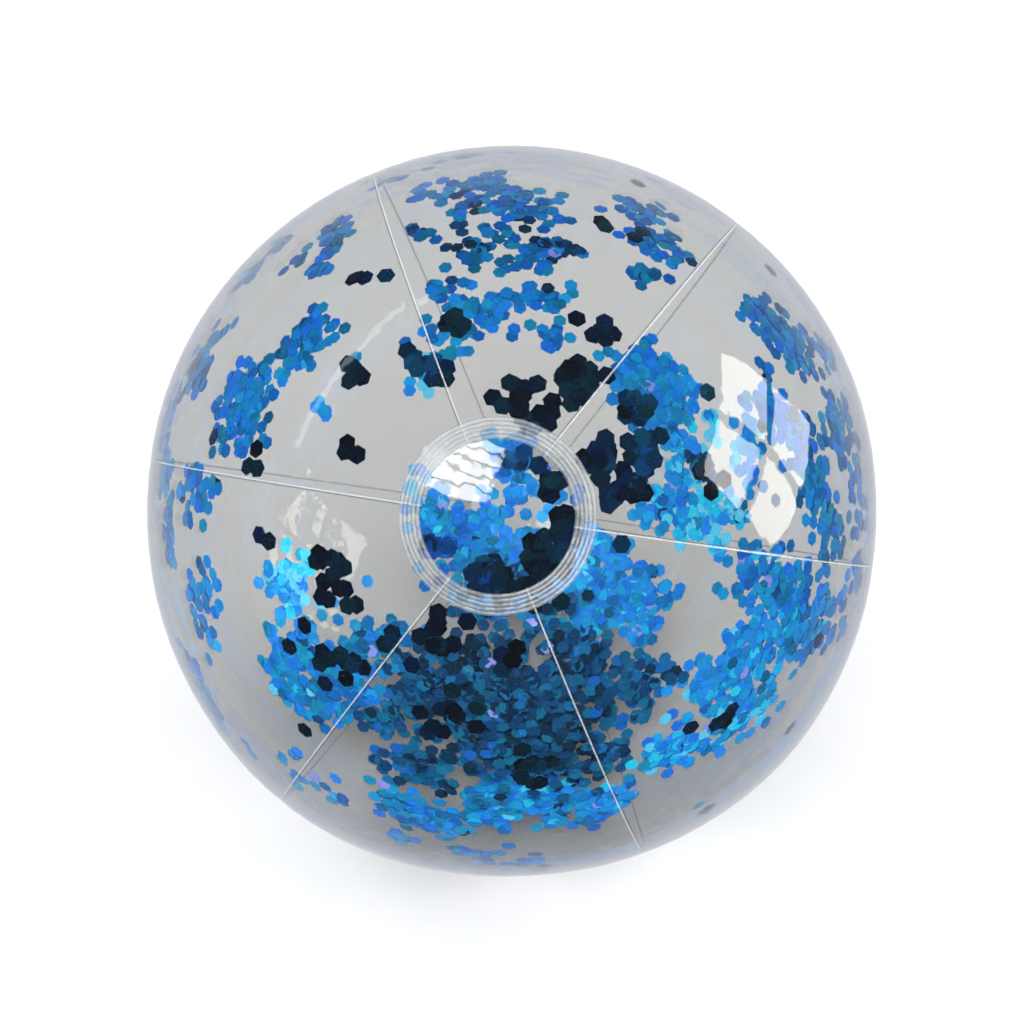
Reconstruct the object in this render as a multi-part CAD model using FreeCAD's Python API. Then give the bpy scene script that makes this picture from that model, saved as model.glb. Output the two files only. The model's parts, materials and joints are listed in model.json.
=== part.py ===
import FreeCAD, Part
import math
import os
import random

# Clear inflatable beach ball, inflated, lying on its side so that one end disc faces the user.
# Six film gores and two end discs are welded into a sphere; a push-in valve sits in one gore,
# and blue hexagonal sequins are loose inside. Millimetres, +Z up, origin at the ball's centre.

V = FreeCAD.Vector

# ---- driving dimensions ----
BALL_R = 150.0            # outside radius of the inflated film
FILM_T = 0.3              # thickness of the clear PVC film
WELD_GAP = 0.05           # film surfaces that are welded face to face are drawn this far apart

GORES = 6
FIRST_SEAM_DEG = -8.5     # turn of the first seam about the polar axis
GORE_END_R = 25.6         # gores stop at this radius from the polar axis, under the disc's ring
SEAM_GAP = 0.15           # butt gap between two gores, across the seam
LAP_W = 1.6               # each gore's lap flange reaches this far under its neighbour

DISC_R = 33.0             # outside radius of an end disc
RIDGES = 5                # concentric weld ridges on each disc's ring
RIDGE_FIRST_R = 26.5
RIDGE_STEP = 1.45
RIDGE_HALF_W = 0.5
RIDGE_H = 0.45

POLE_RISE_DEG = 48.4      # the polar axis points up and towards the user ...
POLE_TURN_DEG = 2.8       # ... and a little to the user's left

# valve, along its own axis: height 0 is the film's outer surface, positive is outwards
VALVE_FROM_POLE_DEG = 27.0
VALVE_TURN_DEG = 21.5     # middle of its gore
FILM_HOLE_R = 8.6
FLANGE_R = 13.0
FLANGE_T = 0.6
FLANGE_BORE_R = 8.0
STEM_R = 4.3
STEM_BORE_R = 3.0
STEM_TOP = 0.8
STEM_FOOT = -12.0
COLLAR_R = 5.1
COLLAR_H = 0.6
ROOT_COLLAR_TOP = -6.1
ROOT_COLLAR_H = 0.8
CUP_WALL = 0.5
CUP_FOOT = -5.9
CUP_CLEAR = 0.25
FLAP_R = 3.9
FLAP_T = 0.4
FLAP_GAP = 0.05
PLUG_SHANK_R = 2.95
PLUG_SHANK_L = 5.6
PLUG_TIP_R = 2.2
PLUG_TIP_L = 1.2
PLUG_HEAD_R = 4.8
PLUG_HEAD_H = 1.8
PLUG_GAP = 0.15
PLUG_DISH_R = 3.0
PLUG_DISH_D = 0.6
STRAP_W = 2.4
STRAP_T = 0.5
STRAP_REACH = 11.5
STRAP_GAP = 0.2
STRAP_LOW = 0.25
STRAP_HIGH = 1.75

# sequins
SEQUIN_AF = 6.0           # across the flats
SEQUIN_T = 0.15
SEQUIN_SPACING = 7.3
CLING_R = 148.9           # clinging sequins lie flat just inside the film
LOOSE_R = 147.4           # the loose drift slides over them
LOOSE_STEP = 0.9
LOOSE_LAYERS = 2
LOOSE_PER_LAYER = 44
LOOSE_CONE_DEG = 26.0
LOOSE_SIDE_MAX = 50.0     # the drift stays clear of the valve, to left and right
CLING_PER_GORE = 38
CLING_PER_DISC = 9
DISC_CLING_CONE_DEG = 8.0
CLING_POLE_CLEAR_DEG = 16.0
VALVE_CLEAR_DEG = 7.5
SEED = 7

os.makedirs("parts", exist_ok=True)


def unit(v):
    return v * (1.0 / v.Length)


def frame_about(axis, towards):
    """Right-handed axes with z along the axis and x as near as possible to `towards`."""
    z = unit(axis)
    x = unit(towards - z * towards.dot(z))
    return x, z.cross(x), z


def placed(shape, axes, origin=V(0, 0, 0)):
    """Move a shape from the local axes into the ball's frame."""
    x, y, z = axes
    m = FreeCAD.Matrix(x.x, y.x, z.x, origin.x,
                       x.y, y.y, z.y, origin.y,
                       x.z, y.z, z.z, origin.z,
                       0, 0, 0, 1)
    return shape.transformed(m, True)


rise = math.radians(POLE_RISE_DEG)
turn = math.radians(POLE_TURN_DEG)
POLE = V(-math.cos(rise) * math.sin(turn), -math.cos(rise) * math.cos(turn), math.sin(rise))
POLAR = frame_about(POLE, V(1, 0, 0))
POLAR_BACK = (POLAR[0], POLAR[1] * -1.0, POLAR[2] * -1.0)


def polar_direction(from_pole_deg, turn_deg):
    """Unit vector at an angle from the front pole and a turn about the polar axis."""
    a, b = math.radians(from_pole_deg), math.radians(turn_deg)
    x, y, z = POLAR
    return x * (math.sin(a) * math.cos(b)) + y * (math.sin(a) * math.sin(b)) + z * math.cos(a)


VALVE_AXIS = polar_direction(180.0 - VALVE_FROM_POLE_DEG, VALVE_TURN_DEG)
VALVE_FRAME = frame_about(VALVE_AXIS, V(1, 0, 0))
VALVE_SEAT = VALVE_AXIS * BALL_R


def at(radius, polar_deg):
    """Point in the local XZ plane, at a radius from the ball's centre and an angle from local Z."""
    a = math.radians(polar_deg)
    return V(radius * math.sin(a), 0, radius * math.cos(a))


def arc(radius, a_deg, b_deg):
    return Part.Arc(at(radius, a_deg), at(radius, (a_deg + b_deg) / 2), at(radius, b_deg)).toShape()


def line(a, b):
    return Part.LineSegment(a, b).toShape()


def turned(edges, angle_deg=360.0):
    """Solid of revolution of a closed profile about the local Z axis."""
    face = Part.Face(Part.Wire(edges))
    return face.revolve(V(0, 0, 0), V(0, 0, 1), angle_deg)


def turned_outline(points):
    """Solid of revolution of a closed polygon of (radius, height) pairs."""
    corners = [V(r, 0, h) for r, h in points]
    return turned(Part.makePolygon(corners + corners[:1]).Edges)


def shell_band(inner, outer, from_deg, to_deg, angle_deg=360.0):
    """Part of a spherical shell between two polar angles."""
    return turned([
        arc(outer, from_deg, to_deg),
        line(at(outer, to_deg), at(inner, to_deg)),
        arc(inner, to_deg, from_deg),
        line(at(inner, from_deg), at(outer, from_deg)),
    ], angle_deg)


def spun(shape, angle_deg):
    shape = shape.copy()
    shape.rotate(V(0, 0, 0), V(0, 0, 1), angle_deg)
    return shape


def save(name, shape):
    shape.exportStep("parts/%s.step" % name)


# ---- film gores ----
def lap_flange():
    """Strip of constant width under the seam: half joined to its own gore, half under the next."""
    reach_deg = 12.0
    end_deg = math.degrees(math.asin(GORE_END_R / BALL_R))
    inner = BALL_R - 2 * FILM_T - WELD_GAP
    outer = BALL_R - FILM_T - WELD_GAP
    band = shell_band(inner, outer, end_deg, 180.0 - end_deg, 2 * reach_deg)
    band = spun(band, -reach_deg)
    slab = Part.makeBox(2 * BALL_R, 2 * LAP_W, 4 * BALL_R, V(0, -LAP_W, -2 * BALL_R))
    return band.common(slab)


def lap_root():
    """Narrow fold that joins the lap flange to the edge of its own gore."""
    reach_deg = 12.0
    end_deg = math.degrees(math.asin(GORE_END_R / BALL_R))
    inner = BALL_R - 2 * FILM_T - WELD_GAP
    band = shell_band(inner, BALL_R, end_deg, 180.0 - end_deg, 2 * reach_deg)
    band = spun(band, -reach_deg)
    slab = Part.makeBox(2 * BALL_R, LAP_W, 4 * BALL_R, V(0, -LAP_W - SEAM_GAP, -2 * BALL_R))
    return band.common(slab)


def gore(index):
    """One meridian panel with its lap flange; the valve's gore also has the film hole."""
    end_deg = math.degrees(math.asin(GORE_END_R / BALL_R))
    span = 360.0 / GORES
    trim = math.degrees(SEAM_GAP / BALL_R)
    panel = shell_band(BALL_R - FILM_T, BALL_R, end_deg, 180.0 - end_deg, span - trim)
    flange = spun(lap_flange(), span - trim)
    root = spun(lap_root(), span - trim)
    body = panel.fuse(root).fuse(flange).removeSplitter()
    body = placed(spun(body, FIRST_SEAM_DEG + index * span), POLAR)
    if index == 0:
        hole = Part.makeCylinder(FILM_HOLE_R, 20.0, VALVE_SEAT - VALVE_AXIS * 10.0, VALVE_AXIS)
        body = body.cut(hole)
    return body


# ---- end discs ----
def end_disc():
    """Round film disc over the gores' ends, with concentric weld ridges on its ring."""
    inner = BALL_R + WELD_GAP
    outer = inner + FILM_T
    rim_deg = math.degrees(math.asin(DISC_R / BALL_R))
    half_deg = math.degrees(RIDGE_HALF_W / BALL_R)
    edges = [line(at(inner, 0), at(outer, 0))]
    last = 0.0
    for i in range(RIDGES):
        mid = math.degrees(math.asin((RIDGE_FIRST_R + i * RIDGE_STEP) / BALL_R))
        a, b = mid - half_deg, mid + half_deg
        edges.append(arc(outer, last, a))
        edges.append(Part.Arc(at(outer, a), at(outer + RIDGE_H, mid), at(outer, b)).toShape())
        last = b
    edges.append(arc(outer, last, rim_deg))
    edges.append(line(at(outer, rim_deg), at(inner, rim_deg)))
    edges.append(arc(inner, rim_deg, 0.0))
    return turned(edges)


# ---- valve ----
def valve_flange():
    """Moulded ring welded to the inside of the film around the hole."""
    outer = BALL_R - FILM_T - WELD_GAP
    from_deg = math.degrees(math.asin(FLANGE_BORE_R / BALL_R))
    to_deg = math.degrees(math.asin(FLANGE_R / BALL_R))
    ring = shell_band(outer - FLANGE_T, outer, from_deg, to_deg)
    return placed(ring, VALVE_FRAME)


def valve_diaphragm():
    """Soft cup between the flange and the stem; it turns inside out as the stem is pushed in."""
    rim = FLANGE_BORE_R - WELD_GAP
    foot = STEM_R + CUP_CLEAR
    top = -0.75
    shoulder = rim - 1.1
    return placed(turned_outline([
        (rim, top),
        (shoulder + 0.3, top - 0.1),
        (foot + CUP_WALL + 0.1, CUP_FOOT + 0.9),
        (foot, CUP_FOOT + CUP_WALL),
        (foot, CUP_FOOT),
        (foot + CUP_WALL, CUP_FOOT),
        (shoulder + 0.3 + CUP_WALL, top - CUP_WALL - 0.2),
        (rim, top - CUP_WALL),
    ]), VALVE_FRAME, VALVE_SEAT)


def valve_stem():
    """Short tube with a collar round its mouth and another where the cup joins it."""
    return placed(turned_outline([
        (STEM_BORE_R, STEM_FOOT),
        (STEM_R, STEM_FOOT),
        (STEM_R, ROOT_COLLAR_TOP - ROOT_COLLAR_H),
        (COLLAR_R, ROOT_COLLAR_TOP - ROOT_COLLAR_H),
        (COLLAR_R, ROOT_COLLAR_TOP),
        (STEM_R, ROOT_COLLAR_TOP),
        (STEM_R, STEM_TOP - COLLAR_H),
        (COLLAR_R, STEM_TOP - COLLAR_H),
        (COLLAR_R, STEM_TOP),
        (STEM_BORE_R, STEM_TOP),
    ]), VALVE_FRAME, VALVE_SEAT)


def valve_check_flap():
    """Thin disc that closes the stem's inner end."""
    top = STEM_FOOT - FLAP_GAP
    disc = Part.makeCylinder(FLAP_R, FLAP_T, V(0, 0, top - FLAP_T))
    return placed(disc, VALVE_FRAME, VALVE_SEAT)


def valve_plug():
    """Stopper with a tapered tip and a dished head."""
    seat = STEM_TOP + PLUG_GAP
    top = seat + PLUG_HEAD_H
    shank_foot = seat - PLUG_SHANK_L
    return placed(turned_outline([
        (0, shank_foot - PLUG_TIP_L),
        (PLUG_TIP_R, shank_foot - PLUG_TIP_L),
        (PLUG_SHANK_R, shank_foot),
        (PLUG_SHANK_R, seat),
        (PLUG_HEAD_R, seat),
        (PLUG_HEAD_R, top - 0.4),
        (PLUG_HEAD_R - 0.4, top),
        (PLUG_DISH_R, top),
        (PLUG_DISH_R - 0.5, top - PLUG_DISH_D),
        (0, top - PLUG_DISH_D),
    ]), VALVE_FRAME, VALVE_SEAT)


def valve_tether():
    """Flat strap from the stem's collar, out over the film and back to the plug's head."""
    low_in = COLLAR_R + STRAP_GAP
    high_in = PLUG_HEAD_R + STRAP_GAP
    bend = STRAP_REACH - (STRAP_HIGH + STRAP_T - STRAP_LOW) / 2
    mid = (STRAP_HIGH + STRAP_T + STRAP_LOW) / 2
    outer_r = (STRAP_HIGH + STRAP_T - STRAP_LOW) / 2
    inner_r = outer_r - STRAP_T
    side = -STRAP_W / 2

    def p(r, h):
        return V(r, side, h)

    edges = [
        line(p(low_in, STRAP_LOW), p(bend, STRAP_LOW)),
        Part.Arc(p(bend, STRAP_LOW), p(bend + outer_r, mid), p(bend, mid + outer_r)).toShape(),
        line(p(bend, mid + outer_r), p(high_in, mid + outer_r)),
        line(p(high_in, mid + outer_r), p(high_in, mid + inner_r)),
        line(p(high_in, mid + inner_r), p(bend, mid + inner_r)),
        Part.Arc(p(bend, mid + inner_r), p(bend + inner_r, mid), p(bend, mid - inner_r)).toShape(),
        line(p(bend, mid - inner_r), p(low_in, mid - inner_r)),
        line(p(low_in, mid - inner_r), p(low_in, STRAP_LOW)),
    ]
    strap = Part.Face(Part.Wire(edges)).extrude(V(0, STRAP_W, 0))
    return placed(strap, VALVE_FRAME, VALVE_SEAT)


# ---- sequins ----
dice = random.Random(SEED)


def random_direction():
    z = dice.uniform(-1.0, 1.0)
    a = dice.uniform(0.0, 2 * math.pi)
    s = math.sqrt(1 - z * z)
    return V(s * math.cos(a), s * math.sin(a), z)


def sequin(direction, radius):
    """Thin hexagon lying flat against the wall, turned at random."""
    x, y, z = frame_about(direction, V(1, 0, 0) if abs(direction.x) < 0.9 else V(0, 1, 0))
    spin = dice.uniform(0.0, math.pi / 3)
    corner_r = SEQUIN_AF / math.sqrt(3)
    corners = []
    for i in range(7):
        a = spin + i * math.pi / 3
        corners.append(z * (radius - SEQUIN_T) + x * (corner_r * math.cos(a)) + y * (corner_r * math.sin(a)))
    corners[6] = corners[0]
    return Part.Face(Part.makePolygon(corners)).extrude(z * SEQUIN_T)


def scatter(count, allowed, taken, radius):
    """Directions picked at random where `allowed`, no two closer than the sequins' spacing."""
    picked = []
    tries = 0
    while len(picked) < count and tries < 200000:
        tries += 1
        d = random_direction()
        if not allowed(d):
            continue
        if all((d - t).Length * radius > SEQUIN_SPACING for t in taken):
            picked.append(d)
            taken.append(d)
    return picked


def within(direction, axis, cone_deg):
    return direction.dot(axis) > math.cos(math.radians(cone_deg))


def turn_of(direction):
    """Turn about the polar axis, counted from the first seam."""
    x, y, z = POLAR
    a = math.degrees(math.atan2(direction.dot(y), direction.dot(x)))
    return (a - FIRST_SEAM_DEG) % 360.0


def on_gore(index):
    def allowed(d):
        if int(turn_of(d) // (360.0 / GORES)) != index:
            return False
        if within(d, POLE, CLING_POLE_CLEAR_DEG) or within(d, POLE * -1.0, CLING_POLE_CLEAR_DEG):
            return False
        if within(d, VALVE_AXIS, VALVE_CLEAR_DEG):
            return False
        return dice.random() < 0.55 - 0.45 * d.z
    return allowed


def on_disc(axis):
    return lambda d: within(d, axis, DISC_CLING_CONE_DEG)


def in_drift(radius):
    def allowed(d):
        return within(d, V(0, 0, -1), LOOSE_CONE_DEG) and abs(d.x) * radius < LOOSE_SIDE_MAX
    return allowed


def sequins(directions, radius):
    return [sequin(d, radius) for d in directions]


# ---- the whole ball ----
for i in range(GORES):
    save("gore_%d" % (i + 1), gore(i))

disc = end_disc()
save("front_end_disc", placed(disc, POLAR))
save("back_end_disc", placed(disc, POLAR_BACK))

save("valve_flange", valve_flange())
save("valve_diaphragm", valve_diaphragm())
save("valve_stem", valve_stem())
save("valve_check_flap", valve_check_flap())
save("valve_plug", valve_plug())
save("valve_tether", valve_tether())

clinging = []
for i in range(GORES):
    spots = scatter(CLING_PER_GORE, on_gore(i), clinging, CLING_R)
    save("sequins_gore_%d" % (i + 1), Part.makeCompound(sequins(spots, CLING_R)))
for name, axis in (("front", POLE), ("back", POLE * -1.0)):
    spots = scatter(CLING_PER_DISC, on_disc(axis), clinging, CLING_R)
    save("sequins_%s_disc" % name, Part.makeCompound(sequins(spots, CLING_R)))

loose = []
for layer in range(LOOSE_LAYERS):
    layer_r = LOOSE_R - layer * LOOSE_STEP
    spots = scatter(LOOSE_PER_LAYER, in_drift(layer_r), [], layer_r)
    loose += sequins(spots, layer_r)
save("sequins_loose", Part.makeCompound(loose))
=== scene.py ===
import json
import math
import random

import bmesh
import bpy
from mathutils import Matrix, Vector


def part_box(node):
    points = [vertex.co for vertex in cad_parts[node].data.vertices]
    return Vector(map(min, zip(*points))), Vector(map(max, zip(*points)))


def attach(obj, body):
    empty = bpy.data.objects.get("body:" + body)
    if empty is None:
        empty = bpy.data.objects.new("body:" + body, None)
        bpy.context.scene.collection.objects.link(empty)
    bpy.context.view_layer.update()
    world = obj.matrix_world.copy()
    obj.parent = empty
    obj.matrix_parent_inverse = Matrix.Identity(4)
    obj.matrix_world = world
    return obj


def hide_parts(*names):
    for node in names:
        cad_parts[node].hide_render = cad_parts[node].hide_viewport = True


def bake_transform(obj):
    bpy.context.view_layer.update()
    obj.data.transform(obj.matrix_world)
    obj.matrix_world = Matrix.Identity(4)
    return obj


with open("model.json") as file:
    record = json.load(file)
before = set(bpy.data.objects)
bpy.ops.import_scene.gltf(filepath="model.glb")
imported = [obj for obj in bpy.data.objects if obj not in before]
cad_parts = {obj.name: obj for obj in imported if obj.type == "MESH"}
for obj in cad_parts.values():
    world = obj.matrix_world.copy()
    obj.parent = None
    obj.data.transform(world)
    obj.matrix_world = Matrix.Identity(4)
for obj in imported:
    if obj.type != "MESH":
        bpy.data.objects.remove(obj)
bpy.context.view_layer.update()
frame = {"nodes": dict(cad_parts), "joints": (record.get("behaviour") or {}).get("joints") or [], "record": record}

MM = 0.001

# ---- the ball, from the frame ----
BALL_R = -frame["record"]["mounts"][0]["pos_m"][2]
JOINTS = {j["name"]: j for j in frame["joints"]}
VALVE_AXIS = Vector(JOINTS["valve_press"]["axis"]).normalized()


def middle(node):
    """Mean of a CAD node's points."""
    points = [v.co for v in frame["nodes"][node].data.vertices]
    return sum(points, Vector()) / len(points)


POLE = (middle("front_end_disc") - middle("back_end_disc")).normalized()
ACROSS = (Vector((1, 0, 0)) - POLE * POLE.x).normalized()
UPWARD = POLE.cross(ACROSS)

# ---- film, in metres unless named otherwise ----
GORES = 6
FIRST_SEAM_DEG = -8.5
FILM_T = 0.3 * MM
LAP_STEP = 0.36 * MM          # the lapped edge lies this far under the panel above it
GORE_END = 25.6 * MM          # gores stop this far from the polar axis
DISC_R = 33.0 * MM
DISC_LIFT = 0.36 * MM         # the disc's film lies on top of the gores
RIDGES = 5
RIDGE_FIRST = 26.5 * MM
RIDGE_STEP = 1.45 * MM
RIDGE_HALF = 0.5 * MM
RIDGE_H = 0.22 * MM
SEAM_VALLEY = 0.22 * MM       # the film is drawn in this much along a seam
PUCKER_H = 0.05 * MM          # small puckers across a seam
GATHERS = 34                  # folds round the rim of each disc
GATHER_H = 0.07 * MM
SLACK_MIDDLE = 0.9 * MM       # the middle of a disc lies this much flatter than the ball

# ---- sequins ----
SEQUIN_AF = 6.0 * MM
SEQUIN_T = 0.12 * MM
SEQUIN_CURL = 0.12 * MM


# ================= directions and the blown-up shape =================
def direction(from_pole_deg, turn_deg):
    """Unit vector at an angle from the front pole and a turn about the polar axis."""
    a, b = math.radians(from_pole_deg), math.radians(turn_deg)
    return (ACROSS * math.cos(b) + UPWARD * math.sin(b)) * math.sin(a) + POLE * math.cos(a)


def pole_angles(d):
    """(angle from the front pole, turn about it), in degrees."""
    return (math.degrees(math.acos(max(-1.0, min(1.0, d.dot(POLE))))),
            math.degrees(math.atan2(d.dot(UPWARD), d.dot(ACROSS))) % 360.0)


# soft bulges and flats of a ball that isn't blown up hard: angle from pole, turn, spread, height
UNEVEN = (
    (82, 235, 20, 1.6 * MM),
    (80, 318, 13, 0.9 * MM),
    (86, 275, 14, -1.5 * MM),
    (84, 0, 14, -0.9 * MM),
    (84, 180, 14, -0.9 * MM),
    (60, 40, 20, 0.5 * MM),
    (55, 215, 16, -0.6 * MM),
    (120, 70, 22, 0.6 * MM),
)
UNEVEN_SPOTS = [(direction(a, t), math.radians(s), h) for a, t, s, h in UNEVEN]


def seam_distance(d):
    """Distance over the surface from the nearest seam."""
    turn = (pole_angles(d)[1] - FIRST_SEAM_DEG) % (360.0 / GORES)
    off = math.radians(min(turn, 360.0 / GORES - turn))
    return BALL_R * math.sqrt(max(0.0, 1 - d.dot(POLE) ** 2)) * math.sin(off)


def film_radius(d):
    """Radius of the film's outer face: a sphere drawn in a little along the seams and round the discs."""
    r = BALL_R
    for spot, spread, height in UNEVEN_SPOTS:
        r += height * math.exp(-(spot.angle(d) / spread) ** 2)
    s = seam_distance(d)
    angle, turn = pole_angles(d)
    from_axis = BALL_R * math.sin(math.radians(angle))
    outside_disc = min(1.0, max(0.0, (from_axis - GORE_END) / (DISC_R - GORE_END)))
    along = math.radians(angle) * BALL_R
    pucker = math.cos(along / (1.7 * MM) + 1.3 * math.sin(along / (9 * MM)))
    r -= outside_disc * SEAM_VALLEY * math.exp(-(s / (6 * MM)) ** 2)
    r -= outside_disc * PUCKER_H * math.exp(-s / (5 * MM)) * pucker
    gather = outside_disc * math.exp(-max(0.0, from_axis - DISC_R) / (7 * MM))
    fold = math.sin(math.radians(turn * GATHERS) + 1.1 * math.sin(math.radians(turn * 5)))
    return r + GATHER_H * gather * fold


# ================= small modelling helpers =================
def deselect_all():
    if bpy.context.object and bpy.context.object.mode != "OBJECT":
        bpy.ops.object.mode_set(mode="OBJECT")
    bpy.ops.object.select_all(action="DESELECT")


def apply_modifier(ob, kind, **settings):
    deselect_all()
    bpy.context.view_layer.objects.active = ob
    ob.select_set(True)
    m = ob.modifiers.new(kind.title(), kind)
    for key, value in settings.items():
        setattr(m, key, value)
    bpy.ops.object.modifier_apply(modifier=m.name)


def settle(ob):
    """Moves a piece's place into its mesh, so that the object sits at the origin."""
    ob.data.transform(ob.matrix_basis)
    ob.matrix_basis = Matrix.Identity(4)


def shade_smooth(ob, angle_deg=40):
    deselect_all()
    bpy.context.view_layer.objects.active = ob
    ob.select_set(True)
    bpy.ops.object.shade_smooth_by_angle(angle=math.radians(angle_deg))


def paint(ob, name, values):
    """One number at each point of the mesh, for the materials to read."""
    layer = ob.data.attributes.new(name, "FLOAT", "POINT")
    layer.data.foreach_set("value", values)


def finish_piece(ob, name, material, body, slot, *nodes):
    ob.name = name
    ob.data.name = name
    ob.data.materials.clear()
    ob.data.materials.append(material)
    if body:
        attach(ob, body)
    if nodes:
        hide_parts(*nodes)


# ================= materials =================
def colour(hex_code):
    """sRGB hex to linear RGBA."""
    parts = [int(hex_code[i:i + 2], 16) / 255 for i in (0, 2, 4)]
    return tuple(c / 12.92 if c <= 0.04045 else ((c + 0.055) / 1.055) ** 2.4 for c in parts) + (1.0,)


def add(tree, kind, links=(), **settings):
    """A node with its settings, and its inputs linked from (input, output socket) pairs.

    A setting named in_X is the value of input X, by number or by name.
    """
    n = tree.nodes.new(kind)
    for key, value in settings.items():
        if key.startswith("in_"):
            socket = key[3:]
            n.inputs[int(socket) if socket.isdigit() else socket.replace("_", " ")].default_value = value
        else:
            setattr(n, key, value)
    for socket, source in links:
        tree.links.new(source, n.inputs[socket])
    return n


def new_material(name):
    m = bpy.data.materials.new(name)
    m.use_nodes = True
    m.node_tree.nodes.clear()
    return m, m.node_tree


FACE_ON_MIRROR = 0.045        # share of light that PVC reflects face on


def clear_film(name, tint, haze, weld_haze):
    """Calendered clear PVC film: clear face on, a mirror at a slant, whitened where it was welded, and with
    painted shade where the edge mark greys its tint, beside the seams and between the disc's ridges.
    """
    m, t = new_material(name)
    facing = add(t, "ShaderNodeLayerWeight", in_0=0.5)
    steep = add(t, "ShaderNodeMath", [(0, facing.outputs["Facing"])], operation="POWER", in_1=5.0)
    mirror = add(t, "ShaderNodeMath", [(0, steep.outputs[0])], operation="MULTIPLY_ADD",
                 in_1=0.95, in_2=FACE_ON_MIRROR)
    place = add(t, "ShaderNodeTexCoord")
    ripple = add(t, "ShaderNodeTexNoise", [("Vector", place.outputs["Object"])],
                 in_Scale=38.0, in_Detail=3.0, in_Roughness=0.55)
    bump = add(t, "ShaderNodeBump", [("Height", ripple.outputs[0])], in_Strength=0.07, in_Distance=0.004)
    # painted shade: the edge mark mixes the tint towards grey, a dark line standing in for the refraction shadow
    # at each lapped seam edge
    edge = add(t, "ShaderNodeAttribute", attribute_name="edge")
    shaded = add(t, "ShaderNodeMix", [("Factor", edge.outputs["Fac"])], data_type="RGBA")
    shaded.inputs[6].default_value = colour(tint)
    shaded.inputs[7].default_value = colour("cdd1d3")
    clear = add(t, "ShaderNodeBsdfTransparent", [("Color", shaded.outputs[2])])
    weld = add(t, "ShaderNodeAttribute", attribute_name="weld")
    rough = add(t, "ShaderNodeMapRange", [("Value", weld.outputs["Fac"])], in_To_Min=0.035, in_To_Max=0.2)
    gloss = add(t, "ShaderNodeBsdfGlossy", [("Normal", bump.outputs[0]), ("Roughness", rough.outputs[0])],
                in_Color=(1, 1, 1, 1))
    milk = add(t, "ShaderNodeBsdfDiffuse", in_Color=colour("dfe4e6"))
    grain = add(t, "ShaderNodeTexNoise", [("Vector", place.outputs["Object"])],
                in_Scale=900.0, in_Detail=2.0)
    whitening = add(t, "ShaderNodeMath", [(0, weld.outputs["Fac"]), (1, grain.outputs[0])],
                    operation="MULTIPLY")
    milky = add(t, "ShaderNodeMath", [(0, whitening.outputs[0])], operation="MULTIPLY_ADD",
                in_1=weld_haze, in_2=haze, use_clamp=True)
    veil = add(t, "ShaderNodeMixShader",
               [(0, milky.outputs[0]), (1, clear.outputs[0]), (2, milk.outputs[0])])
    film = add(t, "ShaderNodeMixShader",
               [(0, mirror.outputs[0]), (1, veil.outputs[0]), (2, gloss.outputs[0])])
    add(t, "ShaderNodeOutputMaterial", [("Surface", film.outputs[0])])
    return m


# colours by tone, partly dyes and partly painted light: teal and royal blue by turns for different batches of
# foil, the dark end painting shade and the cyan end painting glints
OPEN_FACE_DYES_AND_LIGHT = (
    (0.1, "084c82"), (0.2, "08789c"), (0.3, "0f66c6"), (0.4, "0e98bc"), (0.5, "1478ee"),
    (0.58, "10a8da"), (0.68, "1e8cfa"), (0.78, "18b6f6"), (0.88, "22defc"), (0.95, "78d8fc"),
)
# the face against the film is dyed darker: partly painted shade, for the sequins seen through the near wall
STUCK_FACE_DYES_AND_SHADE = ((0.24, "06264a"), (0.36, "074a5c"), (0.46, "08306c"), (0.62, "0a6a94"))


def blue_foil():
    """Metallised PET, dyed blue: bright on the open face, near black on the face that sticks to the film. The
    colour is read by tone, which paints light and shade as well as dye, and the darker film-side face is partly
    painted shade.
    """
    m, t = new_material("metallised_pet_blue")
    tone = add(t, "ShaderNodeAttribute", attribute_name="tone")
    ramp = add(t, "ShaderNodeValToRGB", [("Fac", tone.outputs["Fac"])])
    stops = ramp.color_ramp.elements
    stops[0].position, stops[0].color = 0.0, colour("04304a")
    stops[1].position, stops[1].color = 1.0, colour("9aa0f4")
    for position, code in OPEN_FACE_DYES_AND_LIGHT:
        stop = stops.new(position)
        stop.color = colour(code)
    stuck = add(t, "ShaderNodeAttribute", attribute_name="stuck")
    dark = add(t, "ShaderNodeValToRGB", [("Fac", tone.outputs["Fac"])])
    dark.color_ramp.elements[0].position, dark.color_ramp.elements[0].color = 0.1, colour("031a26")
    dark.color_ramp.elements[1].position, dark.color_ramp.elements[1].color = 0.9, colour("0f62c8")
    for position, code in STUCK_FACE_DYES_AND_SHADE:
        stop = dark.color_ramp.elements.new(position)
        stop.color = colour(code)
    # dye with painted light on the open face, dye with painted shade on the face against the film
    dye_and_painted_light = add(t, "ShaderNodeMix", [("Factor", stuck.outputs["Fac"])], data_type="RGBA")
    t.links.new(ramp.outputs["Color"], dye_and_painted_light.inputs[6])
    t.links.new(dark.outputs["Color"], dye_and_painted_light.inputs[7])
    metal = add(t, "ShaderNodeMapRange", [("Value", stuck.outputs["Fac"])], in_To_Min=0.3, in_To_Max=0.8)
    place = add(t, "ShaderNodeTexCoord")
    emboss = add(t, "ShaderNodeTexNoise", [("Vector", place.outputs["Object"])],
                 in_Scale=420.0, in_Detail=2.0)
    rough = add(t, "ShaderNodeMapRange", [("Value", emboss.outputs[0])],
                in_To_Min=0.16, in_To_Max=0.34)
    bump = add(t, "ShaderNodeBump", [("Height", emboss.outputs[0])], in_Strength=0.07, in_Distance=0.0006)
    foil = add(t, "ShaderNodeBsdfPrincipled",
               [("Base Color", dye_and_painted_light.outputs[2]), ("Metallic", metal.outputs[0]),
                ("Roughness", rough.outputs[0]), ("Normal", bump.outputs[0])])
    add(t, "ShaderNodeOutputMaterial", [("Surface", foil.outputs[0])])
    return m


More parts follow.
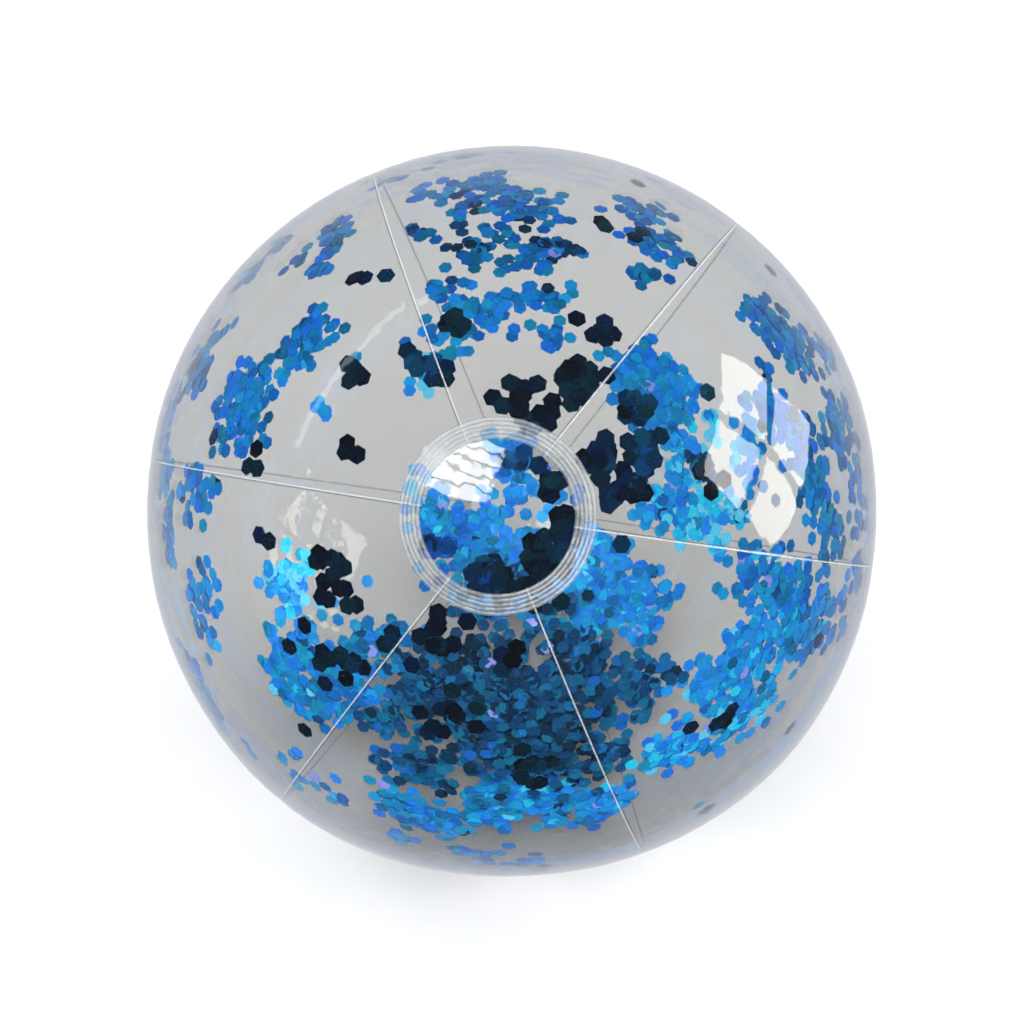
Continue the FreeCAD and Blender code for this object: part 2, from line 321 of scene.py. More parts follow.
def moulded_pvc():
    """Soft injection-moulded PVC of the valve: clear but cloudy, with a satin skin."""
    m, t = new_material("moulded_soft_pvc")
    place = add(t, "ShaderNodeTexCoord")
    cloud = add(t, "ShaderNodeTexNoise", [("Vector", place.outputs["Object"])], in_Scale=260.0, in_Detail=3.0)
    rough = add(t, "ShaderNodeMapRange", [("Value", cloud.outputs[0])], in_To_Min=0.22, in_To_Max=0.42)
    bump = add(t, "ShaderNodeBump", [("Height", cloud.outputs[0])], in_Strength=0.1, in_Distance=0.0004)
    clear = add(t, "ShaderNodeBsdfTransparent", in_Color=colour("e9edee"))
    body = add(t, "ShaderNodeBsdfPrincipled",
               [("Roughness", rough.outputs[0]), ("Normal", bump.outputs[0])],
               in_Base_Color=colour("dfe6e8"), in_IOR=1.53)
    mix = add(t, "ShaderNodeMixShader", [(1, clear.outputs[0]), (2, body.outputs[0])], in_0=0.33)
    add(t, "ShaderNodeOutputMaterial", [("Surface", mix.outputs[0])])
    return m


# ================= film gores =================
EDGE_STEPS = tuple(x * MM for x in (0.0, 0.25, 0.5, 0.75, 1.0, 1.25, 1.7, 2.6, 4.2, 6.5))
LAP_STEPS = tuple(x * MM for x in (0.12, 0.5, 0.9))
MIDDLE_COLUMNS = 13
GORE_ROWS = 132


def gore_column(column, width):
    """Distance of a column of the cut sheet from the panel's first seam."""
    edge = len(EDGE_STEPS)
    if column < edge:
        return EDGE_STEPS[column]
    column -= edge
    first, last = EDGE_STEPS[-1], width - EDGE_STEPS[-1]
    if column < MIDDLE_COLUMNS:
        return first + (last - first) * (column + 1) / (MIDDLE_COLUMNS + 1)
    column -= MIDDLE_COLUMNS
    if column < edge:
        return width - EDGE_STEPS[edge - 1 - column]
    return width + LAP_STEPS[column - edge]


def seam_bead(s):
    """Height of the pressed weld over the panel, at a distance from the panel's free edge."""
    return (0.11 * MM * math.exp(-((s - 0.25 * MM) / (0.25 * MM)) ** 2)
            - 0.04 * MM * math.exp(-((s - 1.0 * MM) / (0.3 * MM)) ** 2))


def seam_pressed(from_pole):
    """How strongly the weld, and the painted shade line beside it, show: crisp round the front disc, faint over
    the back of the ball.
    """
    return 1.0 - 0.75 * min(1.0, max(0.0, (from_pole - 72.0) / 10.0))


def film_gore(index, material):
    """A flat sheet cut as a gore, blown up on to the ball; its far edge laps under the next panel."""
    columns = 2 * len(EDGE_STEPS) + MIDDLE_COLUMNS + len(LAP_STEPS)
    deselect_all()
    bpy.ops.mesh.primitive_grid_add(x_subdivisions=columns - 1, y_subdivisions=GORE_ROWS, size=1.0)
    ob = bpy.context.object
    first_turn = FIRST_SEAM_DEG + index * 360.0 / GORES
    end_deg = math.degrees(math.asin(GORE_END / BALL_R))
    weld, edge = [], []
    for v in ob.data.vertices:
        column = round((v.co.x + 0.5) * (columns - 1))
        angle = end_deg + (180.0 - 2 * end_deg) * (v.co.y + 0.5)
        ring = BALL_R * math.sin(math.radians(angle))
        width = ring * 2 * math.pi / GORES
        s = gore_column(column, width)
        d = direction(angle, first_turn + math.degrees(s / ring))
        r = film_radius(d)
        if s > width + 0.05 * MM:
            r -= LAP_STEP
        else:
            r += seam_bead(s) * seam_pressed(angle)
        v.co = d * r
        pressed = seam_pressed(angle)
        weld.append(pressed * math.exp(-((s - 0.25 * MM) / (0.24 * MM)) ** 2))
        # painted shade: a thin grey line just past the weld bead, for the refraction shadow at the lapped edge
        edge.append(0.7 * pressed * math.exp(-((s - 0.8 * MM) / (0.22 * MM)) ** 2))
    paint(ob, "weld", weld)
    paint(ob, "edge", edge)
    deselect_all()
    bpy.context.view_layer.objects.active = ob
    ob.select_set(True)
    bpy.ops.object.mode_set(mode="EDIT")
    bpy.ops.mesh.select_all(action="SELECT")
    bpy.ops.mesh.normals_make_consistent(inside=False)
    bpy.ops.object.mode_set(mode="OBJECT")
    if sum(p.normal.dot(p.center) for p in ob.data.polygons) < 0:
        ob.data.flip_normals()
    if index == 0:
        cut_film_hole(ob)
    apply_modifier(ob, "SOLIDIFY", thickness=FILM_T, offset=-1.0)
    shade_smooth(ob, 50)
    ob.visible_shadow = ob.visible_diffuse = False
    finish_piece(ob, "film_gore_%d" % (index + 1), material, "shell", "clear_film", "gore_%d" % (index + 1))


FILM_HOLE_R = 8.6 * MM
HOLE_CUTS = 24


def cut_film_hole(ob):
    """Round hole in the film for the valve: straight cuts all round it, then the middle is deleted."""
    bm = bmesh.new()
    bm.from_mesh(ob.data)
    seat = VALVE_AXIS * BALL_R
    side = VALVE_AXIS.orthogonal().normalized()
    for i in range(HOLE_CUTS):
        normal = Matrix.Rotation(2 * math.pi * i / HOLE_CUTS, 3, VALVE_AXIS) @ side
        near = [f for f in bm.faces if (f.calc_center_median() - seat).length < 3 * FILM_HOLE_R]
        geometry = set(near)
        for f in near:
            geometry.update(f.edges)
            geometry.update(f.verts)
        bmesh.ops.bisect_plane(bm, geom=list(geometry), plane_co=seat + normal * FILM_HOLE_R, plane_no=normal)
    inside = []
    for f in bm.faces:
        away = f.calc_center_median() - seat
        aside = away - VALVE_AXIS * away.dot(VALVE_AXIS)
        if f.normal.dot(VALVE_AXIS) > 0 and aside.length < FILM_HOLE_R and away.length < 3 * FILM_HOLE_R:
            inside.append(f)
    bmesh.ops.delete(bm, geom=inside, context="FACES")
    bm.to_mesh(ob.data)
    bm.free()


# ================= end discs =================
DISC_SPOKES = 120
RIM_RING_STEP = 0.24 * MM
MIDDLE_RING_STEP = 1.55 * MM


def ridge_profile(rho, turn_deg):
    """0 between the weld ridges, 1 on a crest."""
    profile = 0.0
    for i in range(RIDGES):
        wobble = 0.05 * MM * math.sin(math.radians(turn_deg * (5 + 2 * i)) + i)
        off = abs(rho - RIDGE_FIRST - i * RIDGE_STEP - wobble) / RIDGE_HALF
        profile += max(0.0, 1 - off * off)
    return profile


def disc_relief(rho, turn_deg):
    """Height of the disc's film over the ball: weld ridges round its rim, a slack flat middle."""
    height = RIDGE_H * ridge_profile(rho, turn_deg)
    if rho < GORE_END:
        height -= SLACK_MIDDLE * (1 - (rho / GORE_END) ** 2)
    else:
        height += 0.03 * MM * math.sin(math.radians(turn_deg * 30))
    return height


def end_disc(name, axis_sign, material, node):
    """A round blank of film, ringed with inset cuts and pressed into ridges where it was welded."""
    rings = [DISC_R - i * RIM_RING_STEP for i in range(34)]
    rings += [rings[-1] - (i + 1) * MIDDLE_RING_STEP for i in range(15)]
    deselect_all()
    bpy.ops.mesh.primitive_circle_add(vertices=DISC_SPOKES, radius=DISC_R, fill_type="NGON")
    ob = bpy.context.object
    bpy.ops.object.mode_set(mode="EDIT")
    bpy.ops.mesh.select_all(action="SELECT")
    for outer, inner in zip(rings, rings[1:]):
        bpy.ops.mesh.inset(thickness=(outer - inner) * math.cos(math.pi / DISC_SPOKES))
    bpy.ops.mesh.poke()
    bpy.ops.object.mode_set(mode="OBJECT")
    weld, edge = [], []
    for v in ob.data.vertices:
        rho = math.hypot(v.co.x, v.co.y)
        turn = math.degrees(math.atan2(v.co.y, v.co.x))
        angle = math.degrees(math.asin(min(1.0, rho / BALL_R)))
        d = direction(angle if axis_sign > 0 else 180.0 - angle, turn)
        v.co = d * (film_radius(d) + DISC_LIFT + disc_relief(rho, turn))
        crest = ridge_profile(rho, turn)
        weld.append(0.35 + 0.4 * crest if rho > GORE_END else 0.0)
        # painted shade: the edge mark greys the film in the grooves between the weld ridges
        edge.append(0.3 * (1 - crest) if rho > GORE_END else 0.0)
    paint(ob, "weld", weld)
    paint(ob, "edge", edge)
    if sum(p.normal.dot(p.center) for p in ob.data.polygons) < 0:
        ob.data.flip_normals()
    apply_modifier(ob, "SOLIDIFY", thickness=FILM_T, offset=-1.0)
    shade_smooth(ob, 60)
    ob.visible_shadow = ob.visible_diffuse = False
    finish_piece(ob, name, material, "shell", "disc_film", node)


# ================= sequins =================
def sequin_blank():
    """One die-cut hexagon with a slight curl, and which of its points belong to its upper face."""
    deselect_all()
    bpy.ops.mesh.primitive_cylinder_add(vertices=6, radius=SEQUIN_AF / math.sqrt(3), depth=SEQUIN_T,
                                        end_fill_type="TRIFAN")
    ob = bpy.context.object
    upper = [v.co.z > 0 for v in ob.data.vertices]
    for v in ob.data.vertices:
        if math.hypot(v.co.x, v.co.y) < 0.1 * MM:
            v.co.z += SEQUIN_CURL
    mesh = ob.data
    bpy.data.objects.remove(ob)
    return mesh, upper


# Drifts on the wall, each a stroke from one place to another: angle from the front pole and turn of both
# ends, in degrees, half width in mm, number of sequins, middle tone. The middle tone is partly painted light: low
# for painted shade in the heap, high for painted glints in the window's light.
FAR_DRIFTS = (
    # behind the top of the ball
    (102, 107, 106, 86, 7, 44, 0.45), (111, 101, 113, 82, 8, 74, 0.4), (121, 101, 126, 81, 10, 54, 0.35),
    (123, 88, 124, 78, 5, 22, 0.02), (116, 101, 130, 98, 3, 16, 0.1),
    (115, 112, 119, 103, 3, 12, 0.3), (134, 111, 141, 90, 7, 56, 0.45), (135, 88, 136, 76, 5, 20, 0.45),
    (139, 83, 147, 78, 5, 20, 0.45), (107, 71, 99, 59, 7, 32, 0.4), (116, 66, 110, 61, 8, 38, 0.4),
    (122, 63, 124, 58, 5, 14, 0.25), (88, 112, 86, 60, 5, 16, 0.3), (140, 125, 146, 100, 10, 22, 0.4),
    # left
    (98, 117, 104, 126, 6, 30, 0.4), (115, 125, 103, 132, 4, 16, 0.4), (122, 134, 121, 147, 8, 66, 0.4),
    (118, 147, 112, 158, 8, 60, 0.4), (111, 163, 122, 161, 9, 74, 0.4), (98, 150, 94, 158, 7, 46, 0.4),
    (83, 162, 93, 177, 6, 80, 0.45), (102, 175, 109, 179, 7, 46, 0.4), (95, 180, 94, 188, 4, 24, 0.4),
    (108, 193, 99, 199, 8, 44, 0.5), (88, 204, 86, 222, 6, 56, 0.4), (133, 193, 130, 205, 8, 34, 0.8),
    (123, 209, 115, 220, 8, 60, 0.45), (121, 221, 127, 229, 10, 84, 0.35), (130, 150, 150, 120, 16, 18, 0.6),
    (90, 130, 84, 160, 5, 34, 0.35), (104, 222, 98, 240, 8, 18, 0.5),
    (127, 206, 130, 229, 7, 76, 0.45), (131, 217, 144, 228, 7, 66, 0.3), (120, 212, 117, 221, 6, 36, 0.5),
    (126, 196, 131, 203, 5, 26, 0.86),
    # the heap and the tails that run out of it, given low tones as painted shade where the sequins pile up
    (124, 238, 142, 240, 11, 120, 0.1), (120, 243, 119, 258, 7, 80, 0.15),
    (148, 236, 134, 268, 14, 200, 0.06), (134, 268, 123, 292, 14, 200, 0.1),
    (150, 290, 132, 306, 13, 150, 0.16), (109, 243, 106, 259, 7, 100, 0.45),
    (117, 263, 117, 281, 11, 230, 0.55),
    (115, 284, 104, 286, 5, 46, 0.5), (96, 250, 92, 275, 6, 34, 0.4), (110, 262, 112, 292, 6, 70, 0.62),
    # right, with bright ones low in the window's light: their high tones are painted glints
    (126, 315, 122, 332, 8, 64, 0.6), (119, 298, 116, 309, 6, 34, 0.7), (165, 336, 150, 323, 8, 80, 0.5),
    (147, 51, 137, 37, 8, 70, 0.5), (146, 10, 136, 357, 6, 46, 0.88), (146, 356, 139, 350, 5, 20, 0.85),
    (144, 19, 130, 352, 2, 18, 0.05), (129, 21, 130, 2, 4, 30, 0.62), (137, 31, 135, 16, 7, 14, 0.9),
    (117, 297, 111, 325, 10, 150, 0.68), (122, 309, 122, 332, 10, 100, 0.6),
    (119, 333, 97, 345, 11, 130, 0.55),
    (134, 347, 109, 340, 11, 140, 0.45), (112, 40, 103, 25, 10, 120, 0.4), (122, 28, 113, 6, 10, 130, 0.4),
    (113, 6, 106, 355, 8, 66, 0.4), (103, 19, 98, 359, 8, 66, 0.4), (95, 30, 92, 345, 6, 60, 0.4),
    (143, 55, 144, 28, 11, 150, 0.5), (149, 26, 150, 352, 12, 170, 0.62), (158, 300, 146, 328, 13, 190, 0.55),
    # under the back disc, seen through the front one
    (158, 207, 168, 250, 8, 50, 0.3), (168, 250, 167, 307, 8, 50, 0.2), (171, 50, 168, 330, 6, 30, 0.3),
    (163, 186, 168, 212, 8, 56, 0.45), (160, 235, 158, 300, 7, 90, 0.45), (160, 300, 165, 340, 6, 60, 0.7),
    (170, 110, 172, 70, 4, 12, 0.5), (159, 164, 163, 204, 6, 40, 0.72), (166, 189, 169, 290, 7, 60, 0.42),
    (164, 121, 170, 79, 6, 30, 0.62), (167, 222, 167, 286, 6, 40, 0.15),
    (172, 210, 174, 60, 9, 56, 0.5),
)
NEAR_DRIFTS = (
    # above the front disc and down its right side
    (22, 112, 16, 104, 5, 7, 0.45), (17, 86, 15, 66, 4, 20, 0.2), (20, 68, 21, 50, 4, 20, 0.25),
    (17, 45, 16, 5, 4, 22, 0.4), (19, 15, 20, 357, 4, 9, 0.3), (25, 50, 22, 36, 4, 8, 0.45),
    (24, 122, 19, 114, 3, 5, 0.45), (27, 108, 21, 98, 4, 5, 0.3), (29, 67, 32, 50, 4, 7, 0.3),
    (28, 14, 31, 358, 2, 4, 0.3), (40, 80, 47, 60, 8, 4, 0.3), (21, 28, 20, 8, 4, 16, 0.6),
    # left
    (24, 159, 21, 156, 1, 2, 0.3), (37, 144, 28, 132, 4, 6, 0.3), (37, 169, 35, 167, 2, 3, 0.3),
    (46, 128, 38, 118, 5, 3, 0.3),
    # below and left of the disc
    (25, 189, 24, 204, 5, 10, 0.3), (26, 205, 23, 216, 4, 6, 0.3), (33, 209, 28, 232, 6, 13, 0.3),
    (23, 225, 16, 237, 5, 9, 0.3), (33, 182, 33, 186, 2, 2, 0.3), (26, 244, 32, 262, 7, 12, 0.3),
    (36, 276, 40, 292, 6, 11, 0.3), (17, 250, 22, 285, 4, 8, 0.3), (48, 318, 44, 326, 3, 6, 0.3),
    # a crescent slid down on the front disc itself
    (9, 196, 9, 232, 3, 11, 0.9), (8, 232, 8, 273, 4, 15, 0.5), (8, 273, 9, 312, 5, 18, 0.3),
    (9, 312, 10, 342, 4, 13, 0.3), (9, 350, 9, 47, 2, 15, 0.3), (8, 87, 7, 59, 2, 5, 0.7),
)
SCATTERED = 60
LOOSE_COUNT = 440
# painted shade: the loose heap at the bottom is given a dark tone
LOOSE_TONE = 0.1
LOOSE_SPREAD = 25 * MM
VALVE_CLEAR = 13.0 * MM       # no sequin lies this near the middle of the valve
VALVE_NEAR = 20.0 * MM        # out to here they lie deeper, and near the poles too
THICK_FILM_DEG = 13
DISC_REACH_DEG = 10


def drift(dice, from_pole_1, turn_1, from_pole_2, turn_2, half_wide, count):
    """Directions of the sequins of one stroke, gathered in clumps of a few that stick together."""
    start, end = direction(from_pole_1, turn_1), direction(from_pole_2, turn_2)
    forward = (end - start).normalized()
    clumps = []
    for _ in range(max(1, count // 4)):
        d = start.slerp(end, dice.random())
        clumps.append(d * BALL_R + d.cross(forward).normalized() * dice.gauss(0, half_wide * 0.6 * MM))
    spots = []
    spread = min(5.5, 1.2 + 0.55 * half_wide) * MM
    for _ in range(count):
        centre = dice.choice(clumps)
        aside = centre.cross(forward).normalized()
        spots.append((centre + aside * dice.gauss(0, spread) + forward * dice.gauss(0, spread)).normalized())
    return spots


def tone_near(dice, middle_tone):
    """Tone of one sequin: close to its drift's, with an odd pale lavender one."""
    if dice.random() < 0.008:
        return 1.0
    return min(0.93, max(0.0, dice.gauss(middle_tone, 0.07 + 0.15 * middle_tone)))


def anywhere(dice):
    z, a = dice.uniform(-1, 1), dice.uniform(0, 2 * math.pi)
    s = math.sqrt(1 - z * z)
    return Vector((s * math.cos(a), s * math.sin(a), z))


def lying(dice, d, depth, tilt_deg):
    """Placement of one sequin at a depth under the film's outer face, and whether it is turned over."""
    spin = Matrix.Rotation(dice.uniform(0, math.pi / 3), 4, "Z")
    lean = Matrix.Rotation(math.radians(dice.gauss(0, tilt_deg)), 4, "X")
    lean2 = Matrix.Rotation(math.radians(dice.gauss(0, tilt_deg)), 4, "Y")
    over = dice.random() < 0.5
    flip = Matrix.Rotation(math.pi if over else 0.0, 4, "X")
    upright = d.to_track_quat("Z", "Y").to_matrix().to_4x4()
    place = Matrix.Translation(d * (film_radius(d) - depth))
    return place @ upright @ lean @ lean2 @ flip @ spin, over


def sequin_group(name, blank, lie, material, body, node):
    """Many sequins as one mesh, each a copy of the blank with a tone of its own."""
    mesh_of_one, upper = blank
    bm = bmesh.new()
    stuck, tones = [], []
    for place, over, tone in lie:
        before = len(bm.verts)
        bm.from_mesh(mesh_of_one)
        bm.verts.ensure_lookup_table()
        bmesh.ops.transform(bm, matrix=place, verts=bm.verts[before:])
        stuck += [float(up != over) for up in upper]
        tones += [tone] * len(upper)
    mesh = bpy.data.meshes.new(name)
    bm.to_mesh(mesh)
    bm.free()
    ob = bpy.data.objects.new(name, mesh)
    bpy.context.scene.collection.objects.link(ob)
    paint(ob, "tone", tones)
    paint(ob, "stuck", stuck)
    finish_piece(ob, name, material, body, "blue_foil", node)


def all_sequins(material):
    dice = random.Random(11)
    blank = sequin_blank()
    spots = []
    for *stroke, middle_tone in FAR_DRIFTS + NEAR_DRIFTS:
        spots += [(d, tone_near(dice, middle_tone)) for d in drift(dice, *stroke)]
    spots += [(anywhere(dice), tone_near(dice, 0.4)) for _ in range(SCATTERED)]
    groups = {}
    for d, tone in spots:
        angle, turn = pole_angles(d)
        if d.angle(VALVE_AXIS) * BALL_R < VALVE_CLEAR:
            continue
        depth = dice.uniform(1.1, 1.8) * MM
        if min(angle, 180 - angle) < THICK_FILM_DEG or d.angle(VALVE_AXIS) * BALL_R < VALVE_NEAR:
            depth += 0.6 * MM
        if angle < DISC_REACH_DEG:
            key = "sequins_front_disc"
        elif angle > 180 - DISC_REACH_DEG:
            key = "sequins_back_disc"
        else:
            key = "sequins_gore_%d" % (int(((turn - FIRST_SEAM_DEG) % 360.0) // (360.0 / GORES)) + 1)
        groups.setdefault(key, []).append((*lying(dice, d, depth, 3.0), tone))
    low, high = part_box("sequins_loose")
    loose = []
    while len(loose) < LOOSE_COUNT:
        x = dice.gauss((low.x + high.x) / 2, LOOSE_SPREAD)
        y = dice.gauss(0, LOOSE_SPREAD)
        if not low.x + 4 * MM < x < high.x - 4 * MM or abs(y) > high.y:
            continue
        d = Vector((x, y, -math.sqrt(BALL_R ** 2 - x * x - y * y))).normalized()
        # a fixed distance from the ball's centre, so that the drift clears the others as it turns
        depth = film_radius(d) - BALL_R + dice.uniform(3.9, 5.3) * MM
        loose.append((*lying(dice, d, depth, 8.0), tone_near(dice, LOOSE_TONE)))
    for key, lie in sorted(groups.items()):
        sequin_group(key + "_foil", blank, lie, material, "shell", key)
    sequin_group("sequins_loose_foil", blank, loose, material, "loose_drift", "sequins_loose")


# ================= valve =================
# Heights are along the valve's axis from the film's outer face, outwards.
SEAT = VALVE_AXIS * BALL_R
VALVE_SIDE = (Vector((1, 0, 0)) - VALVE_AXIS * VALVE_AXIS.x).normalized()
VALVE_FRAME = Matrix.Translation(SEAT) @ Matrix(
    (VALVE_SIDE, VALVE_AXIS.cross(VALVE_SIDE), VALVE_AXIS)).transposed().to_4x4()
CUP_RIM_R, CUP_RIM_Z = 7.9 * MM, -0.95 * MM
CUP_FOOT_R, CUP_FOOT_Z = 4.75 * MM, -5.7 * MM
CUP_WALL = 0.45 * MM
STRAP_W, STRAP_T = 2.4 * MM, 0.5 * MM
STRAP_INNER, STRAP_REACH = 5.35 * MM, 11.2 * MM
STRAP_LOW, STRAP_HIGH = 0.5 * MM, 2.0 * MM


def valve_cup(material):
    """Soft cup between the flange and the stem: rings drawn down and in from the rim, then given its wall."""
    steps = 12
    deselect_all()
    bpy.ops.mesh.primitive_circle_add(vertices=64, radius=CUP_RIM_R, location=(0, 0, CUP_RIM_Z))
    ob = bpy.context.object
    bpy.ops.object.mode_set(mode="EDIT")
    bpy.ops.mesh.select_all(action="SELECT")
    radius, height = CUP_RIM_R, CUP_RIM_Z
    for i in range(1, steps + 1):
        t = i / steps
        next_radius = CUP_RIM_R + (CUP_FOOT_R - CUP_RIM_R) * (0.5 - 0.5 * math.cos(math.pi * t))
        next_height = CUP_RIM_Z + (CUP_FOOT_Z - CUP_RIM_Z) * t
        bpy.ops.mesh.extrude_region_move(TRANSFORM_OT_translate={"value": (0, 0, next_height - height)})
        bpy.ops.transform.resize(value=(next_radius / radius, next_radius / radius, 1),
                                 center_override=(0, 0, next_height))
        radius, height = next_radius, next_height
    bpy.ops.mesh.select_all(action="SELECT")
    bpy.ops.mesh.normals_make_consistent(inside=False)
    bpy.ops.object.mode_set(mode="OBJECT")
    settle(ob)
    apply_modifier(ob, "SOLIDIFY", thickness=CUP_WALL, offset=0.0)
    ob.data.transform(VALVE_FRAME)
    shade_smooth(ob, 50)
    finish_piece(ob, "valve_cup", material, None, "valve_pvc", "valve_diaphragm")
    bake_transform(ob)


def valve_strap(material):
    """Flat strap folded back over itself, from the stem's collar out over the film and back to the plug."""
    turn_r = (STRAP_HIGH - STRAP_LOW) / 2
    run = STRAP_REACH - turn_r - STRAP_INNER
    bend = math.pi * turn_r
    length = 2 * run + bend
    deselect_all()
    bpy.ops.mesh.primitive_grid_add(x_subdivisions=48, y_subdivisions=6, size=1.0)
    ob = bpy.context.object
    for v in ob.data.vertices:
        along = (v.co.x + 0.5) * length
        waist = 1 - 0.18 * math.sin(math.pi * (v.co.x + 0.5)) ** 2
        if along < run:
            reach, height = STRAP_INNER + along, STRAP_LOW
        elif along < run + bend:
            a = (along - run) / turn_r
            reach = STRAP_INNER + run + turn_r * math.sin(a)
            height = STRAP_LOW + turn_r * (1 - math.cos(a))
        else:
            reach, height = STRAP_INNER + length - along, STRAP_HIGH
        v.co = (reach, v.co.y * STRAP_W * waist, height)
    apply_modifier(ob, "SOLIDIFY", thickness=STRAP_T, offset=0.0)
    apply_modifier(ob, "BEVEL", width=0.1 * MM, segments=2, limit_method="ANGLE")
    ob.data.transform(VALVE_FRAME)
    shade_smooth(ob, 50)
    finish_piece(ob, "valve_strap", material, None, "valve_pvc", "valve_tether")
    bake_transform(ob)


def valve_pieces(material):
    for node in ("valve_flange", "valve_stem", "valve_plug", "valve_check_flap"):
        ob = frame["nodes"][node]
        ob.data.materials.clear()
        ob.data.materials.append(material)
    valve_cup(material)
    valve_strap(material)


# ================= stage, light and camera =================
CAMERA_FAR = 4.7 * BALL_R
CAMERA_RISE_DEG = 49.0
LENS = 59.2
FLOOR_NEAR = 0.45
FLOOR_MIDDLE = (0, 0.1, -BALL_R)


def stage_floor():
    """Pale matt floor, a disc with a wide ring round it; neither is mirrored in the film."""
    m, t = new_material("matt_paper_floor")
    place = add(t, "ShaderNodeTexCoord")
    fibre = add(t, "ShaderNodeTexNoise", [("Vector", place.outputs["Object"])], in_Scale=60.0, in_Detail=4.0)
    tone = add(t, "ShaderNodeValToRGB", [("Fac", fibre.outputs[0])])
    tone.color_ramp.elements[0].color = colour("bdbebf")
    tone.color_ramp.elements[1].color = colour("c2c3c4")
    paper = add(t, "ShaderNodeBsdfDiffuse", [("Color", tone.outputs[0])])
    add(t, "ShaderNodeOutputMaterial", [("Surface", paper.outputs[0])])
    deselect_all()
    bpy.ops.mesh.primitive_circle_add(vertices=96, radius=FLOOR_NEAR, fill_type="NGON", location=FLOOR_MIDDLE)
    near = bpy.context.object
    bpy.ops.mesh.primitive_circle_add(vertices=96, radius=FLOOR_NEAR, location=FLOOR_MIDDLE)
    wide = bpy.context.object
    bpy.ops.object.mode_set(mode="EDIT")
    bpy.ops.mesh.select_all(action="SELECT")
    bpy.ops.mesh.extrude_region_move()
    bpy.ops.transform.resize(value=(20, 20, 1), center_override=FLOOR_MIDDLE)
    bpy.ops.object.mode_set(mode="OBJECT")
    for ob, name in ((near, "floor_near"), (wide, "floor_wide")):
        ob.name = name
        ob.data.materials.append(m)
        ob.visible_glossy = False


def lamp(name, towards, distance, size_x, size_y, power, tint, mirrored=True, shift=(0, 0), along=None):
    """A soft rectangular lamp, facing the ball; shift slides it in its own plane."""
    data = bpy.data.lights.new(name, "AREA")
    data.shape = "RECTANGLE"
    data.size, data.size_y = size_x, size_y
    data.energy = power
    data.color = colour(tint)[:3]
    back = Vector(towards).normalized()
    side = Vector(along).normalized() if along else Vector((0, 0, 1)).cross(back).normalized()
    up = back.cross(side).normalized()
    side = up.cross(back)
    place = back * distance + side * shift[0] + up * shift[1]
    ob = bpy.data.objects.new(name, data)
    ob.matrix_world = Matrix.Translation(place) @ Matrix((side, up, back)).transposed().to_4x4()
    ob.visible_glossy = mirrored
    ob.visible_camera = False
    bpy.context.scene.collection.objects.link(ob)


SLATS = 5
SLAT_SPACING = 0.084
WINDOW_TOWARDS = (0.97, 0.05, 0.30)
BLIND_TOWARDS = (-0.25, -0.50, 0.83)
TUBE_TOWARDS = (-0.69, 0.18, 0.71)
PALE_WALL_TOWARDS = (0.0, 0.72, -0.69)


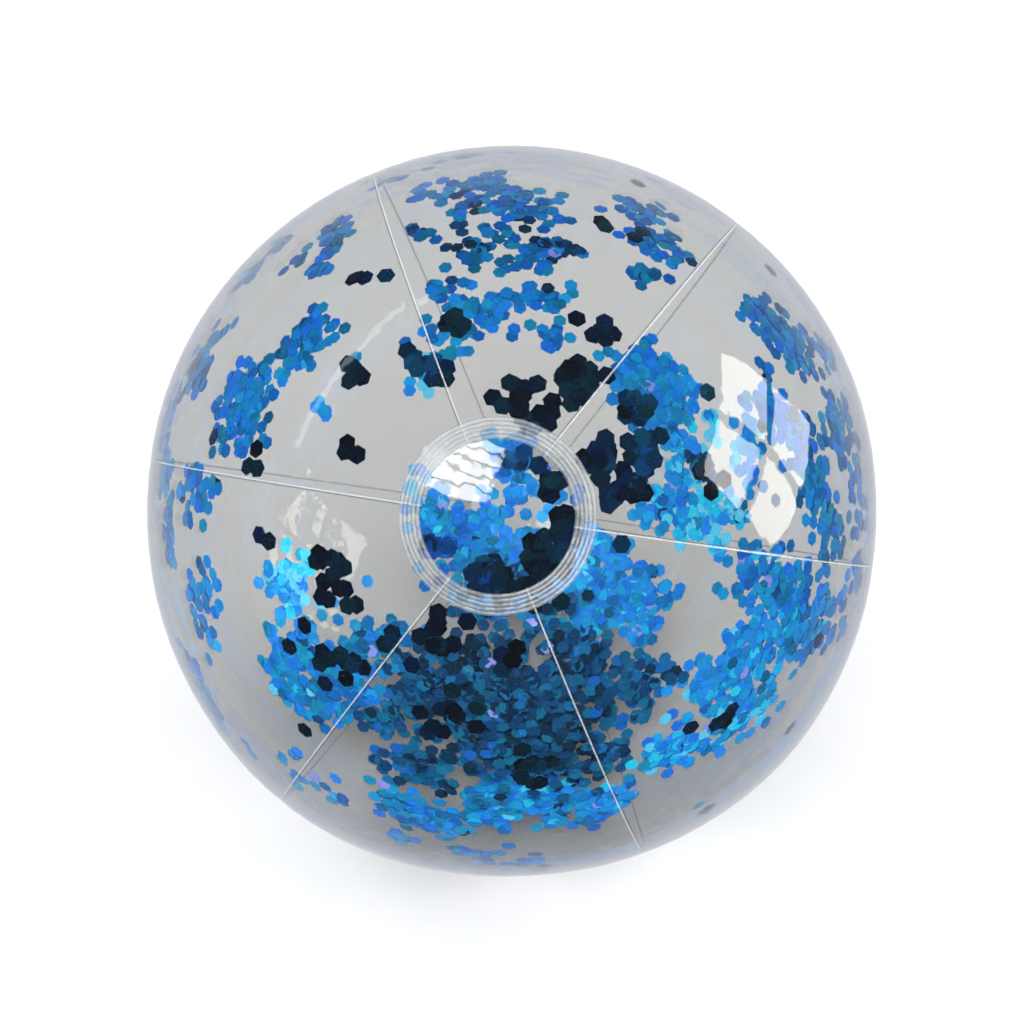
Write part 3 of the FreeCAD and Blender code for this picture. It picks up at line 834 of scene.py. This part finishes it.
def studio():
    """Soft light all round, a paned window, a blind, a long tube, and a dim room to be mirrored."""
    world = bpy.data.worlds.new("studio")
    bpy.context.scene.world = world
    world.use_nodes = True
    world.cycles.sampling_method = "NONE"
    t = world.node_tree
    t.nodes.clear()
    path = add(t, "ShaderNodeLightPath")
    pale = add(t, "ShaderNodeBackground", in_Color=colour("eef0f1"), in_Strength=1.0)
    place = add(t, "ShaderNodeTexCoord")
    low = add(t, "ShaderNodeVectorMath", [(0, place.outputs["Generated"])], operation="DOT_PRODUCT")
    low.inputs[1].default_value = PALE_WALL_TOWARDS
    back = add(t, "ShaderNodeMapRange", [("Value", low.outputs["Value"])], interpolation_type="SMOOTHSTEP",
               in_From_Min=0.15, in_From_Max=0.95, in_To_Min=0.06, in_To_Max=0.84)
    room = add(t, "ShaderNodeBackground", [("Strength", back.outputs[0])], in_Color=colour("eef1fa"))
    soft = add(t, "ShaderNodeBackground", in_Color=colour("fafafb"), in_Strength=1.8)
    lit = add(t, "ShaderNodeMixShader",
              [(0, path.outputs["Is Diffuse Ray"]), (1, room.outputs[0]), (2, soft.outputs[0])])
    seen = add(t, "ShaderNodeMixShader",
               [(0, path.outputs["Is Camera Ray"]), (1, lit.outputs[0]), (2, pale.outputs[0])])
    add(t, "ShaderNodeOutputWorld", [("Surface", seen.outputs[0])])
    for across in (-1, 1):
        for rise in (-1, 1):
            lamp("window_pane_%d_%d" % (across, rise), WINDOW_TOWARDS, 1.6, 0.46, 0.42, 2.9, "fffdf8",
                 shift=(across * 0.27, rise * 0.25))
    for i in range(SLATS):
        lamp("blind_slat_%d" % (i + 1), BLIND_TOWARDS, 2.0, 0.8, 0.064, 1.25, "f4f8ff",
             shift=(0, SLAT_SPACING * (i - SLATS // 2)))
    lamp("tube_left", TUBE_TOWARDS, 1.5, 1.25, 0.05, 0.35, "e8f2ff", along=(0.81, 0.77, 0.60))
    lamp("ceiling_soft", (0.0, 0.1, 1.0), 1.8, 2.6, 2.6, 15, "ffffff", mirrored=False)


def camera():
    data = bpy.data.cameras.new("camera")
    data.lens = LENS
    data.sensor_width = 36.0
    ob = bpy.data.objects.new("camera", data)
    e = math.radians(CAMERA_RISE_DEG)
    ob.location = Vector((0, -math.cos(e), math.sin(e))) * CAMERA_FAR
    ob.rotation_euler = (-ob.location).to_track_quat("-Z", "Y").to_euler()
    bpy.context.scene.collection.objects.link(ob)
    bpy.context.scene.camera = ob


# ================= the whole ball =================
camera()
studio()
stage_floor()

panel_film = clear_film("calendered_clear_pvc", "f0f0ef", 0.001, 0.75)
disc_film = clear_film("welded_clear_pvc_disc", "f0f1f1", 0.001, 0.4)
for i in range(GORES):
    film_gore(i, panel_film)
end_disc("end_disc_front", 1, disc_film, "front_end_disc")
end_disc("end_disc_back", -1, disc_film, "back_end_disc")
all_sequins(blue_foil())
valve_pieces(moulded_pvc())

bpy.context.scene.view_settings.view_transform = "Standard"
bpy.context.scene.cycles.transparent_max_bounces = 32
